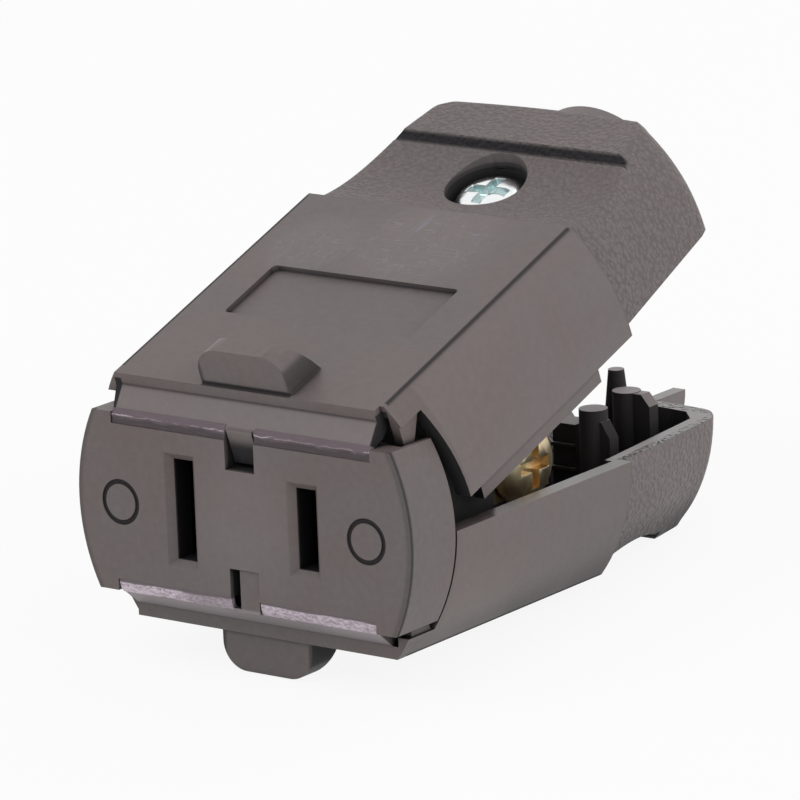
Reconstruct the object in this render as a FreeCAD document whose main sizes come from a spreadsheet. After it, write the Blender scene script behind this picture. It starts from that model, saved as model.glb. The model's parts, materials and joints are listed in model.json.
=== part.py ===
import FreeCAD, Part
import math
import os
import re
import Sketcher
from FreeCAD import Placement, Rotation, Vector

# Hinged two-wire cord connector, millimetres and degrees.
# X runs along the face, Y from the face towards the cord, Z up.
# The origin is the middle of the face, on the parting plane of the covers.
SIZES = {
    "barrel_radius": 17.2,
    "cover_height": 10.4,
    "wall": 1.5,
    "parting_clearance": 0.05,
    "grip_parting": 0.5,
    "cover_front": 2.3,
    "front_face_drop": 1.1,
    "smooth_end": 31.2,
    "grip_step": 0.75,
    "grip_taper": 1.5,
    "grip_corner": 46.9,
    "rear_corner_inset": 1.65,
    "rear_corner": 48.7,
    "rear_crown": 49.9,
    "waist_start": 32.2,
    "waist_middle": 36.8,
    "waist_low": 8.8,
    "waist_radius": 14.2,
    "waist_end": 41.7,
    "groove_bottom": 42.1,
    "groove_height": 9.1,
    "ridge_front": 42.6,
    "ridge_height": 10.4,
    "ridge_slope": 0.3,
    "rear_round": 1.2,
    "face_half_height": 6.7,
    "wing_half_height": 7.7,
    "wing_gap": 0.1,
    "band_depth": 6.15,
    "band_bulge_radius": 66,
    "band_clearance": 0.2,
    "hinge_depth": 0.7,
    "hinge_height": 7.2,
    "open_angle": 19.6,
    "lip_front": 0.35,
    "lip_height": 7.65,
    "lip_inset": 0.4,
    "cover_cut_height": 8.5,
    "strip_front": 0.1,
    "strip_thickness": 0.55,
    "strip_inner": 1.9,
    "strip_margin": 0.1,
    "notch_half_width": 1.5,
    "notch_floor": 4.2,
    "notch_depth": 4.4,
    "lug_start": -0.6,
    "upper_lug_start": -1.25,
    "lug_end": 1.35,
    "lug_tip": 4.65,
    "lug_front": 0.2,
    "lug_thickness": 1.5,
    "slit_width": 0.55,
    "slit_depth": 6.2,
    "ear_front": 3.0,
    "tongue_width": 0.85,
    "tongue_tip": 5.8,
    "tongue_tip_rear": 4.0,
    "tongue_rear": 5.7,
    "tongue_clearance": 0.25,
    "tab_half_width": 4.65,
    "tab_height": 3.4,
    "tab_front": 2.65,
    "tab_depth": 1.95,
    "tab_slope": 2.3,
    "tab_corner_radius": 2.4,
    "label_half_width": 9.65,
    "label_front": 12.7,
    "label_rear": 20.2,
    "label_depth": 0.5,
    "label_corner_radius": 0.4,
    "collar_radius": 7.35,
    "collar_end": 53.6,
    "cord_radius": 6.1,
    "cord_bore_start": 45,
    "collar_grip": 5.1,
    "guide_front": 10.2,
    "guide_rear": 28.3,
    "guide_drop": 3.0,
    "guide_root": 1.6,
    "guide_thickness": 1.0,
    "guide_clearance": 0.3,
    "clamp_place": 38.05,
    "clamp_boss_radius": 5.3,
    "clamp_boss_end": 1.0,
    "clamp_recess_radius": 3.7,
    "clamp_seat": 2.4,
    "clamp_head_top": 8.3,
    "clamp_head_radius": 3.2,
    "clamp_head_height": 2.0,
    "clamp_shank_radius": 1.75,
    "clamp_shank_length": 7.6,
    "screw_clearance": 0.08,
    "clamp_nut_boss_radius": 3.2,
    "clamp_nut_boss_end": 2.9,
    "pilot_radius": 1.5,
    "pilot_depth": 4.8,
    "barrier_half_width": 0.75,
    "barrier_start": 18.5,
    "barrier_end": 35,
    "barrier_clearance": 0.3,
    "slot_spacing": 12.7,
    "slot_width": 2.0,
    "hot_slot_height": 6.9,
    "neutral_slot_height": 8.6,
    "slot_mouth": 0.6,
    "mark_spacing": 25.5,
    "mark_radius": 1.95,
    "mark_inner_radius": 1.55,
    "mark_depth": 0.2,
    "carrier_margin": 0.1,
    "carrier_half_height": 6.2,
    "carrier_end": 17,
    "face_thickness": 2.6,
    "cavity_inner": 4.5,
    "cavity_half_height": 4.45,
    "contact_thickness": 0.8,
    "contact_gap": 1.4,
    "contact_front": 2.9,
    "contact_half_height": 3.0,
    "leaf_end": 12,
    "jog_start": 13.6,
    "jog_length": 1.0,
    "tail_offset": 1.65,
    "tail_end": 31,
    "bridge_start": 7,
    "bridge_end": 11.5,
    "contact_clearance": 0.05,
    "terminal_place": 26.2,
    "terminal_head_radius": 3.4,
    "terminal_head_height": 2.0,
    "terminal_gap": 0.2,
    "terminal_shank_radius": 1.9,
    "terminal_shank_length": 4.8,
    "recess_width": 1.0,
    "recess_length": 4.0,
    "recess_depth": 1.0,
    "head_edge": 0.6,
    "post_front_x": 8.6,
    "post_front_y": 37.9,
    "post_front_top": 2.0,
    "post_rear_x": 7.7,
    "post_rear_y": 44.2,
    "post_rear_top": 2.05,
    "post_radius": 1.25,
    "pin_x": 4.9,
    "pin_y": 46.7,
    "pin_top": 3.05,
    "pin_radius": 0.7,
    "pin_base_radius": 2.0,
    "post_front_root": 8.2,
    "post_rear_root": 9.4,
    "fin_front_start": 1.25,
    "fin_front_reach": 2.1,
    "fin_front_step": 1.0,
    "fin_front_drop": 1.4,
    "fin_rear_start": 1.95,
    "fin_rear_reach": 2.8,
    "fin_rear_step": 0.05,
    "fin_rear_drop": 1.0,
    "fin_thickness": 1.3,
    "stub_x": 5.3,
    "stub_y": 39.3,
    "stub_top": 0.2,
    "stub_half_size": 1.2,
    "ledge_drop": 1.7,
    "ledge_pitch": 2.1,
    "ledge_reach": 0.35,
    "ledge_thickness": 0.3,
}
# sizes that follow from the ones above
grip_radius = "(barrel_radius - grip_step)"
grip_end_radius = f"({grip_radius} - grip_taper)"
rear_corner_radius = f"({grip_end_radius} - rear_corner_inset)"
lip_half_width = "(sqrt(barrel_radius ^ 2 - cover_height ^ 2) - lip_inset)"
wing_start = f"({lip_half_width} + wing_gap)"
strip_outer = f"({lip_half_width} - strip_margin)"
carrier_half_width = f"({lip_half_width} - carrier_margin)"
tongue_outer = f"({lip_half_width} + slit_width + tongue_width)"
PLAIN_WORDS = ("cos", "sin", "sqrt")
FOUND = {}


def make_sheet(doc):
    sheet = doc.addObject("Spreadsheet::Sheet", "Dimensions")
    for row, (word, value) in enumerate(SIZES.items(), start=1):
        sheet.set(f"A{row}", word)
        sheet.set(f"B{row}", str(value))
        sheet.setAlias(f"B{row}", word)
    doc.recompute()
    return sheet


def bound(text):
    def prefix(match):
        word = match.group(0)
        return word if word in PLAIN_WORDS else "Dimensions." + word
    return re.sub(r"[a-z_]{3,}", prefix, str(text))


def number(doc, text):
    text = str(text)
    if text not in FOUND:
        doc.Dimensions.set("D1", "=" + text)
        doc.Dimensions.recompute()
        FOUND[text] = float(doc.Dimensions.get("D1"))
    return FOUND[text]


def new_body(doc, name):
    return doc.addObject("PartDesign::Body", name)


def origin(body, role):
    return next(item for item in body.Origin.OriginFeatures if item.Role == role)


def new_sketch(body, plane, offset=0):
    sketch = body.newObject("Sketcher::SketchObject", body.Name + "_sketch")
    sketch.AttachmentSupport = [(origin(body, plane), "")]
    sketch.MapMode = "FlatFace"
    if offset != 0:
        sketch.setExpression("AttachmentOffset.Base.z", bound(offset))
    return sketch


def fix_point(sketch, geometry, end, u, v):
    doc = sketch.Document
    for kind, axis, text in (("DistanceX", -2, u), ("DistanceY", -1, v)):
        if text is None:
            continue
        value = number(doc, text)
        if abs(value) < 1e-9:
            sketch.addConstraint(Sketcher.Constraint("PointOnObject", geometry, end, axis))
            continue
        index = sketch.addConstraint(Sketcher.Constraint(kind, -1, 1, geometry, end, value))
        sketch.setExpression(f"Constraints[{index}]", bound(text))


def on_arc(doc, u, arc):
    # the point of a hollow arc at one depth
    across, up, radius = (number(doc, text) for text in arc)
    depth = number(doc, u)
    return Vector(depth, up - math.sqrt(radius ** 2 - (depth - across) ** 2), 0)


def draw_outline(sketch, corners, arc=None):
    # corners without a height lie on the hollow arc that joins them
    doc = sketch.Document
    first = sketch.GeometryCount
    count = len(corners)
    points = []
    for u, v in corners:
        points.append(on_arc(doc, u, arc) if v is None else Vector(number(doc, u), number(doc, v), 0))
    for index in range(count):
        following = (index + 1) % count
        if corners[index][1] is None and corners[following][1] is None:
            draw_hollow_arc(sketch, points[index], points[following], arc)
        else:
            sketch.addGeometry(Part.LineSegment(points[index], points[following]))
    for index in range(count):
        following = first + (index + 1) % count
        sketch.addConstraint(Sketcher.Constraint("Coincident", first + index, 2, following, 1))
    for index, (u, v) in enumerate(corners):
        fix_point(sketch, first + index, 1, u, v)


def draw_hollow_arc(sketch, start, stop, arc):
    doc = sketch.Document
    across, up, radius = (number(doc, text) for text in arc)
    centre = Vector(across, up, 0)
    angles = [math.atan2(point.y - up, point.x - across) for point in (start, stop)]
    index = sketch.addGeometry(Part.ArcOfCircle(Part.Circle(centre, Vector(0, 0, 1), radius), *angles))
    fix_point(sketch, index, 3, arc[0], arc[1])
    size = sketch.addConstraint(Sketcher.Constraint("Radius", index, radius))
    sketch.setExpression(f"Constraints[{size}]", bound(arc[2]))


def draw_box(sketch, left, right, low, high):
    draw_outline(sketch, [(left, low), (right, low), (right, high), (left, high)])


def draw_circle(sketch, u, v, radius):
    doc = sketch.Document
    centre = Vector(number(doc, u), number(doc, v), 0)
    index = sketch.addGeometry(Part.Circle(centre, Vector(0, 0, 1), number(doc, radius)))
    fix_point(sketch, index, 3, u, v)
    size = sketch.addConstraint(Sketcher.Constraint("Radius", index, number(doc, radius)))
    sketch.setExpression(f"Constraints[{size}]", bound(radius))


def draw_bulged(sketch, edge, radius, side, low, high):
    # a region with one bulged edge: the arc is centred on the sketch's horizontal axis
    doc = sketch.Document
    centre = number(doc, f"{edge} - {radius}")
    size = number(doc, radius)
    bottom, top, far = number(doc, low), number(doc, high), number(doc, side)
    start = math.asin(bottom / size)
    stop = math.asin(top / size)
    circle = Part.Circle(Vector(centre, 0, 0), Vector(0, 0, 1), size)
    arc = sketch.addGeometry(Part.ArcOfCircle(circle, start, stop))
    lower = Vector(centre + size * math.cos(start), bottom, 0)
    upper = Vector(centre + size * math.cos(stop), top, 0)
    roof = sketch.addGeometry(Part.LineSegment(upper, Vector(far, top, 0)))
    flank = sketch.addGeometry(Part.LineSegment(Vector(far, top, 0), Vector(far, bottom, 0)))
    floor = sketch.addGeometry(Part.LineSegment(Vector(far, bottom, 0), lower))
    for one, two in ((arc, roof), (roof, flank), (flank, floor), (floor, arc)):
        sketch.addConstraint(Sketcher.Constraint("Coincident", one, 2, two, 1))
    fix_point(sketch, arc, 3, f"{edge} - ({radius})", 0)
    index = sketch.addConstraint(Sketcher.Constraint("Radius", arc, size))
    sketch.setExpression(f"Constraints[{index}]", bound(radius))
    fix_point(sketch, roof, 2, side, high)
    fix_point(sketch, floor, 1, side, low)
    sketch.addConstraint(Sketcher.Constraint("Horizontal", roof))
    sketch.addConstraint(Sketcher.Constraint("Horizontal", floor))


def add_feature(body, kind, sketch, length, reverse=False, both=False):
    feature = body.newObject("PartDesign::" + kind, body.Name + "_" + kind.lower())
    feature.Profile = sketch
    feature.setExpression("Length", bound(length))
    feature.Reversed = reverse
    if both:
        feature.SideType = "Symmetric"
    return feature


def pad(body, sketch, length, reverse=False, both=False):
    return add_feature(body, "Pad", sketch, length, reverse, both)


def pocket(body, sketch, length, reverse=False, both=False):
    return add_feature(body, "Pocket", sketch, length, reverse, both)


def turn(body, sketch, axis, angle=360, reverse=False, kind="Revolution"):
    feature = body.newObject("PartDesign::" + kind, body.Name + "_" + kind.lower())
    feature.Profile = sketch
    feature.ReferenceAxis = (origin(body, axis), [""])
    feature.Angle = angle
    feature.Reversed = reverse
    return feature


def pad_box_from_front(body, start, end, left, right, low, high):
    # a block between two depths behind the face
    sketch = new_sketch(body, "XZ_Plane", f"-({start})")
    draw_box(sketch, left, right, low, high)
    return pad(body, sketch, f"{end} - ({start})", reverse=True)


def cut_box_from_front(body, start, end, boxes):
    sketch = new_sketch(body, "XZ_Plane", f"-({start})")
    for left, right, low, high in boxes:
        draw_box(sketch, left, right, low, high)
    return pocket(body, sketch, f"{end} - ({start})")


def half_form(doc, name, inset):
    # half of the housing's outer form, or of its cavity when inset by the wall
    body = new_body(doc, name)
    plan = new_sketch(body, "XY_Plane")
    draw_outline(plan, [
        (0, f"cover_front + {inset}"),
        (f"barrel_radius - {inset}", f"cover_front + {inset}"),
        (f"barrel_radius - {inset}", f"smooth_end - {inset} / 2"),
        (f"{grip_radius} - {inset}", f"smooth_end - {inset} / 2"),
        (f"{grip_end_radius} - {inset}", f"grip_corner - {inset}"),
        (f"{rear_corner_radius} - {inset}", f"rear_corner - {inset}"),
        (0, f"rear_crown - {inset}"),
    ])
    turn(body, plan, "Y_Axis", 180, reverse=True)
    waist = ("waist_middle", f"waist_low + waist_radius - {inset}", "waist_radius")
    side = new_sketch(body, "YZ_Plane")
    draw_outline(side, [
        (0, f"cover_height - {inset}"),
        (f"smooth_end - {inset} / 2", f"cover_height - {inset}"),
        ("waist_start", None),
        ("waist_end", None),
        ("groove_bottom", f"groove_height - {inset}"),
        ("ridge_front", f"ridge_height - {inset}"),
        ("rear_crown + wall", f"ridge_height - {inset} - ridge_slope"),
        ("rear_crown + wall", "barrel_radius + wall"),
        (0, "barrel_radius + wall"),
    ], waist)
    pocket(body, side, "barrel_radius * 4", both=True)
    return body


def soften(body, base, names, radius):
    fillet = body.newObject("PartDesign::Fillet", body.Name + "_fillet")
    fillet.Base = (base, names)
    fillet.setExpression("Radius", bound(radius))
    return fillet


def round_rear(doc, body):
    # soft edge where the ridge turns down to the rear end
    tip = body.Tip
    doc.recompute([tip])
    low = number(doc, "ridge_front + 1")
    names = []
    for index, edge in enumerate(tip.Shape.Edges, start=1):
        middle = edge.valueAt((edge.FirstParameter + edge.LastParameter) / 2)
        across = edge.BoundBox.XLength > number(doc, "wall * 2")
        if across and middle.y > low and middle.z > number(doc, "waist_low - wall"):
            names.append(f"Edge{index}")
    soften(body, tip, names, "rear_round")


def hollow(doc, body, cavity):
    cut = body.newObject("PartDesign::Boolean", body.Name + "_hollow")
    cut.setObjects([cavity])
    cut.Type = "Cut"
    return cut


def open_front(body):
    # room for the face block and its side bands
    sketch = new_sketch(body, "YZ_Plane")
    draw_bulged(sketch, "band_depth + band_clearance", "band_bulge_radius",
                "-wall", "-wall", "cover_cut_height")
    pocket(body, sketch, "barrel_radius * 4", both=True)


def add_lip(body, lug):
    # the sloped front edge that the living hinge grows from
    side = new_sketch(body, "YZ_Plane")
    draw_outline(side, [
        ("lip_front", "lip_height"),
        ("cover_front", "cover_height - front_face_drop"),
        ("cover_front + wall", "cover_height - front_face_drop"),
        ("cover_front + wall", "cover_cut_height"),
        ("cover_front", "lip_height"),
    ])
    pad(body, side, f"{lip_half_width} * 2", both=True)
    pad_box_from_front(body, "lug_front", "lug_front + lug_thickness",
                       *lug, "lug_tip", "lip_height + lug_front")


def add_ears(body):
    # one ear is cut back beside the lip, and both end in a tongue that tucks behind the band
    trim = new_sketch(body, "XZ_Plane")
    draw_box(trim, lip_half_width, "barrel_radius", "tongue_tip", "cover_height + wall")
    pocket(body, trim, "ear_front")
    for sign in ("", "-"):
        slit = new_sketch(body, "XZ_Plane")
        draw_box(slit, f"{sign}{lip_half_width}", f"{sign}({lip_half_width} + slit_width)",
                 "tongue_tip", "cover_height - front_face_drop")
        pocket(body, slit, "slit_depth")
        tongue = new_sketch(body, "YZ_Plane", f"{sign}({lip_half_width} + slit_width)")
        draw_outline(tongue, [
            ("ear_front", "cover_cut_height + wall / 2"),
            ("tongue_rear", "cover_cut_height + wall / 2"),
            ("tongue_rear", "cover_cut_height"),
            ("tongue_tip_rear", "tongue_tip"),
            ("ear_front", "tongue_tip"),
        ])
        pad(body, tongue, "tongue_width", reverse=(sign == "-"))


def add_tab(doc, body):
    sketch = new_sketch(body, "XZ_Plane", "-tab_front")
    draw_box(sketch, "-tab_half_width", "tab_half_width",
             "cover_height - wall / 2", "cover_height + tab_height")
    block = pad(body, sketch, "tab_depth + tab_slope", reverse=True)
    slope = new_sketch(body, "YZ_Plane")
    draw_outline(slope, [
        ("tab_front + tab_depth", "cover_height + tab_height"),
        ("tab_front + tab_depth + tab_slope", "cover_height"),
        ("tab_front + tab_depth + tab_slope + wall", "cover_height"),
        ("tab_front + tab_depth + tab_slope + wall", "cover_height + tab_height + wall"),
        ("tab_front + tab_depth", "cover_height + tab_height + wall"),
    ])
    doc.recompute([block])
    names = []
    top = number(doc, "cover_height + tab_height")
    for index, edge in enumerate(block.Shape.Edges, start=1):
        box = edge.BoundBox
        if box.ZMin > top - 1e-6 and box.XLength < 1e-6:
            names.append(f"Edge{index}")
    soften(body, block, names, "tab_corner_radius")
    pocket(body, slope, "tab_half_width * 3", both=True)


def add_collar(body):
    ring = new_sketch(body, "XZ_Plane", "-(rear_corner - wall)")
    draw_circle(ring, 0, 0, "collar_radius")
    pad(body, ring, "collar_end - rear_corner + wall", reverse=True)
    bore = new_sketch(body, "XZ_Plane", "-cord_bore_start")
    draw_circle(bore, 0, 0, "cord_radius")
    pocket(body, bore, "collar_end + wall - cord_bore_start")
    # flared inner mouth, so that no sharp edge meets the cord
    mouth = "(collar_end - collar_grip)"
    flare = new_sketch(body, "XY_Plane")
    draw_outline(flare, [
        (0, "cord_bore_start"),
        (f"cord_radius + {mouth} - cord_bore_start", "cord_bore_start"),
        ("cord_radius", mouth),
        (0, mouth),
    ])
    turn(body, flare, "Y_Axis", kind="Groove")


def trim_parting(body):
    sketch = new_sketch(body, "YZ_Plane")
    draw_box(sketch, "-wall", "collar_end + wall", "-barrel_radius", "parting_clearance")
    pocket(body, sketch, "barrel_radius * 4", both=True)


def relieve_grip(body):
    # the upper cover's edge stands a little higher along the grip
    sketch = new_sketch(body, "YZ_Plane")
    draw_box(sketch, "smooth_end", "rear_corner - wall", "-wall", "grip_parting")
    pocket(body, sketch, "barrel_radius * 4", both=True)


def add_guide(body):
    # lip on one side that tucks inside the other cover's wall as the two close
    outer = "(sqrt((barrel_radius - wall) ^ 2 - guide_drop ^ 2) - guide_clearance)"
    section = new_sketch(body, "XZ_Plane", "-guide_front")
    draw_outline(section, [
        (outer, "-guide_drop"),
        (outer, "parting_clearance"),
        ("barrel_radius - wall / 2", "parting_clearance"),
        ("barrel_radius - wall / 2", "guide_root"),
        (f"{outer} - guide_thickness", "guide_root"),
        (f"{outer} - guide_thickness", "-guide_drop"),
    ])
    pad(body, section, "guide_rear - guide_front", reverse=True)


def add_barrier(body):
    # wall between the two terminals
    sketch = new_sketch(body, "XY_Plane", "barrier_clearance")
    draw_box(sketch, "-barrier_half_width", "barrier_half_width", "barrier_start", "barrier_end")
    pad(body, sketch, "waist_low - wall / 2 - barrier_clearance")


def cover_shell(doc, name, lug):
    body = half_form(doc, name, 0)
    round_rear(doc, body)
    hollow(doc, body, half_form(doc, name + "_cavity", "wall"))
    open_front(body)
    add_lip(body, lug)
    add_ears(body)
    add_tab(doc, body)
    add_collar(body)
    trim_parting(body)
    add_guide(body)
    add_barrier(body)
    return body


def upper_cover(doc):
    body = cover_shell(doc, "upper_cover", ("upper_lug_start", "lug_end"))
    relieve_grip(body)
    add_posts(body)
    boss = new_sketch(body, "XY_Plane", "clamp_boss_end")
    draw_circle(boss, 0, "clamp_place", "clamp_boss_radius")
    pad(body, boss, "waist_low - wall / 2 - clamp_boss_end")
    recess = new_sketch(body, "XY_Plane", "cover_height")
    draw_circle(recess, 0, "clamp_place", "clamp_recess_radius")
    pocket(body, recess, "cover_height - clamp_seat")
    hole = new_sketch(body, "XY_Plane", "cover_height")
    draw_circle(hole, 0, "clamp_place", "clamp_shank_radius + screw_clearance")
    pocket(body, hole, "cover_height")
    label = new_sketch(body, "XY_Plane", "cover_height")
    draw_box(label, "-label_half_width", "label_half_width", "label_front", "label_rear")
    panel = pocket(body, label, "label_depth")
    doc.recompute([panel])
    names = []
    for index, edge in enumerate(panel.Shape.Edges, start=1):
        box = edge.BoundBox
        middle = edge.CenterOfMass
        thin = max(box.XLength, box.YLength) < 1e-6
        upright = thin and abs(box.ZLength - SIZES["label_depth"]) < 1e-6
        if upright and abs(abs(middle.x) - SIZES["label_half_width"]) < 1e-6:
            names.append(f"Edge{index}")
    soften(body, panel, names, "label_corner_radius")
    return body


def add_post(body, place):
    x, y, top, root = (f"post_{place}_{word}" for word in ("x", "y", "top", "root"))
    sketch = new_sketch(body, "XY_Plane", f"-{top}")
    draw_circle(sketch, f"-{x}", y, "post_radius")
    pad(body, sketch, f"{top} + {root}")


def add_pin(body):
    # drafted pin, wider at its root
    tip = new_sketch(body, "XY_Plane", "-pin_top")
    draw_circle(tip, "-pin_x", "pin_y", "pin_radius")
    foot = new_sketch(body, "XY_Plane", "post_rear_root")
    draw_circle(foot, "-pin_x", "pin_y", "pin_base_radius")
    pin = body.newObject("PartDesign::AdditiveLoft", body.Name + "_pin")
    pin.Profile = tip
    pin.Sections = [foot]


def add_fin(body, place):
    x, y, top, root = (f"post_{place}_{word}" for word in ("x", "y", "top", "root"))
    start, reach, step, drop = (f"fin_{place}_{word}" for word in ("start", "reach", "step", "drop"))
    sketch = new_sketch(body, "XZ_Plane", f"-({y} - fin_thickness / 2)")
    draw_outline(sketch, [
        (f"-{x}", f"-({top} - {step})"),
        (f"-({x} + {start})", f"-({top} - {step})"),
        (f"-({x} + {reach})", f"-({top} - {step} - {drop})"),
        (f"-({x} + {reach})", root),
        (f"-{x}", root),
    ])
    pad(body, sketch, "fin_thickness", reverse=True)


def add_posts(body):
    # strain relief: each cover grips the cord from its own side
    for place in ("front", "rear"):
        add_post(body, place)
        add_fin(body, place)


def lower_cover(doc):
    body = cover_shell(doc, "lower_cover", ("-lug_end", "-lug_start"))
    add_posts(body)
    boss = new_sketch(body, "XY_Plane", "clamp_nut_boss_end")
    draw_circle(boss, 0, "clamp_place", "clamp_nut_boss_radius")
    pad(body, boss, "waist_low - wall / 2 - clamp_nut_boss_end")
    pilot = new_sketch(body, "XY_Plane")
    draw_circle(pilot, 0, "clamp_place", "pilot_radius")
    pocket(body, pilot, "clamp_nut_boss_end + pilot_depth", reverse=True)
    add_pin(body)
    stub = new_sketch(body, "XY_Plane", "-stub_top")
    draw_box(stub, "-(stub_x + stub_half_size)", "-(stub_x - stub_half_size)",
             "stub_y - stub_half_size", "stub_y + stub_half_size")
    pad(body, stub, "stub_top + post_front_root")
    for drop in ("ledge_drop", "(ledge_drop + ledge_pitch)"):
        ledge = new_sketch(body, "XY_Plane", f"{drop} - stub_top")
        draw_box(ledge, "-(stub_x + stub_half_size)", "-(stub_x - stub_half_size)",
                 "stub_y - stub_half_size - ledge_reach", "stub_y")
        pad(body, ledge, "ledge_thickness")
    body.Placement = Placement(Vector(), Rotation(Vector(0, 1, 0), 180))
    return body


def face_plate(body):
    disc = new_sketch(body, "XZ_Plane")
    draw_circle(disc, 0, 0, "barrel_radius")
    pad(body, disc, "band_depth", reverse=True)
    flats = []
    for sign in ("", "-"):
        flats.append(("-barrel_radius * 2", "barrel_radius * 2",
                      f"{sign}wing_half_height", f"{sign}barrel_radius * 2"))
    cut_box_from_front(body, "0", "band_depth", flats)
    beds = []
    for sign in ("", "-"):
        beds.append((f"-{wing_start}", wing_start, f"{sign}face_half_height", f"{sign}barrel_radius"))
    cut_box_from_front(body, "0", "band_depth", beds)
    back = new_sketch(body, "YZ_Plane")
    draw_bulged(back, "band_depth", "band_bulge_radius",
                "band_depth * 3", "-barrel_radius", "barrel_radius")
    pocket(body, back, "barrel_radius * 4", both=True)


def face_openings(doc, body):
    leaf = "slot_spacing / 2 + contact_gap / 2"
    outer = f"{leaf} + contact_thickness + tail_offset / 2 + contact_clearance"
    cavities = []
    for sign in ("", "-"):
        cavities.append((f"{sign}cavity_inner", f"{sign}({outer})",
                         "-cavity_half_height", "cavity_half_height"))
    cut_box_from_front(body, "face_thickness", "carrier_end", cavities)
    notches = []
    for sign in ("", "-"):
        notches.append(("-notch_half_width", "notch_half_width",
                        f"{sign}notch_floor", f"{sign}barrel_radius"))
    cut_box_from_front(body, "0", "notch_depth", notches)
    pockets = []
    for side in ("", "-"):
        for height in ("", "-"):
            pockets.append((f"{side}{wing_start}", f"{side}({tongue_outer} + tongue_clearance)",
                            f"{height}(tongue_tip - tongue_clearance)", f"{height}barrel_radius"))
    cut_box_from_front(body, "ear_front - tongue_clearance * 3", "band_depth", pockets)
    slots = new_sketch(body, "XZ_Plane")
    for sign, height in (("", "hot_slot_height"), ("-", "neutral_slot_height")):
        middle = f"{sign}(slot_spacing / 2)"
        draw_box(slots, f"{middle} - slot_width / 2", f"{middle} + slot_width / 2",
                 f"-{height} / 2", f"{height} / 2")
    cut = pocket(body, slots, "face_thickness")
    doc.recompute([cut])
    names = []
    for index, edge in enumerate(cut.Shape.Edges, start=1):
        box = edge.BoundBox
        flat = abs(box.YMin) < 1e-6 and abs(box.YMax) < 1e-6
        near = abs(abs(edge.CenterOfMass.x) - SIZES["slot_spacing"] / 2) < SIZES["slot_width"]
        if flat and near and max(abs(box.ZMin), abs(box.ZMax)) < SIZES["neutral_slot_height"] / 2 + 0.01:
            names.append(f"Edge{index}")
    mouth = body.newObject("PartDesign::Chamfer", "slot_mouths")
    mouth.Base = (cut, names)
    mouth.setExpression("Size", bound("slot_mouth"))
    marks = new_sketch(body, "XZ_Plane")
    for sign in ("", "-"):
        draw_circle(marks, f"{sign}mark_spacing / 2", 0, "mark_radius")
        draw_circle(marks, f"{sign}mark_spacing / 2", 0, "mark_inner_radius")
    pocket(body, marks, "mark_depth")


def face_block(doc):
    body = new_body(doc, "face_block")
    face_plate(body)
    pad_box_from_front(body, "face_thickness", "carrier_end", f"-{carrier_half_width}",
                       carrier_half_width, "-carrier_half_height", "carrier_half_height")
    face_openings(doc, body)
    return body


def hinge_strip(doc, name, side, opened):
    # thin web from the edge of the face to the lip of a cover, bent where the cover stands open
    body = new_body(doc, name)
    sketch = new_sketch(body, "YZ_Plane")
    angle = "open_angle" if opened else "0 * open_angle"
    corners = [("strip_front", "face_half_height"),
               ("strip_front + strip_thickness", "face_half_height")]
    for depth in ("lip_front + strip_thickness", "lip_front"):
        across = f"({depth} - hinge_depth)"
        above = "(lip_height - hinge_height)"
        corners.append((f"hinge_depth + {across} * cos({angle}) - {above} * sin({angle})",
                        f"hinge_height + {across} * sin({angle}) + {above} * cos({angle})"))
    draw_outline(sketch, corners)
    sketch.setExpression("AttachmentOffset.Base.z", bound("strip_inner" if side > 0 else f"-{strip_outer}"))
    pad(body, sketch, f"{strip_outer} - strip_inner")
    return body


def contact(doc, name):
    body = new_body(doc, name)
    leaf = "(slot_spacing / 2 + contact_gap / 2)"
    tail = f"({leaf} + tail_offset / 2)"
    strap = new_sketch(body, "XY_Plane")
    draw_outline(strap, [
        (leaf, "contact_front"),
        (f"{leaf} + contact_thickness", "contact_front"),
        (f"{leaf} + contact_thickness", "jog_start"),
        (f"{tail} + contact_thickness", "jog_start + jog_length"),
        (f"{tail} + contact_thickness", "tail_end"),
        (tail, "tail_end"),
        (tail, "jog_start + jog_length + contact_thickness / 2"),
        (leaf, "jog_start + contact_thickness / 2"),
    ])
    pad(body, strap, "contact_half_height * 2", both=True)
    inner = "(slot_spacing / 2 - contact_gap / 2)"
    spring = new_sketch(body, "XY_Plane")
    draw_box(spring, f"{inner} - contact_thickness", inner, "contact_front", "leaf_end")
    pad(body, spring, "contact_half_height * 2", both=True)
    bridge = new_sketch(body, "XY_Plane", "contact_half_height")
    draw_box(bridge, f"{inner} - contact_thickness", f"{leaf} + contact_thickness",
             "bridge_start", "bridge_end")
    pad(body, bridge, "contact_thickness")
    hole = new_sketch(body, "YZ_Plane")
    draw_circle(hole, "terminal_place", 0, "terminal_shank_radius + screw_clearance")
    pocket(body, hole, "barrel_radius", reverse=True)
    return body


def cross_screw(doc, name, kind):
    # drawn along Z with the underside of its head at z = 0
    body = new_body(doc, name)
    head = f"{kind}_head_radius"
    height = f"{kind}_head_height"
    shank = f"{kind}_shank_radius"
    half = new_sketch(body, "XZ_Plane")
    draw_outline(half, [
        (0, f"-{kind}_shank_length"),
        (f"{shank} - wall / 3", f"-{kind}_shank_length"),
        (shank, f"-{kind}_shank_length + wall / 3"),
        (shank, 0),
        (head, 0),
        (head, f"{height} - head_edge * 1.5"),
        (f"{head} - head_edge", f"{height} - head_edge / 2"),
        (f"{head} / 2", height),
        (0, height),
    ])
    turn(body, half, "Z_Axis")
    for across, along in (("recess_width", "recess_length"), ("recess_length", "recess_width")):
        recess = new_sketch(body, "XY_Plane", height)
        draw_box(recess, f"-{across} / 2", f"{across} / 2", f"-{along} / 2", f"{along} / 2")
        pocket(body, recess, "recess_depth")
    return body


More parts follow.
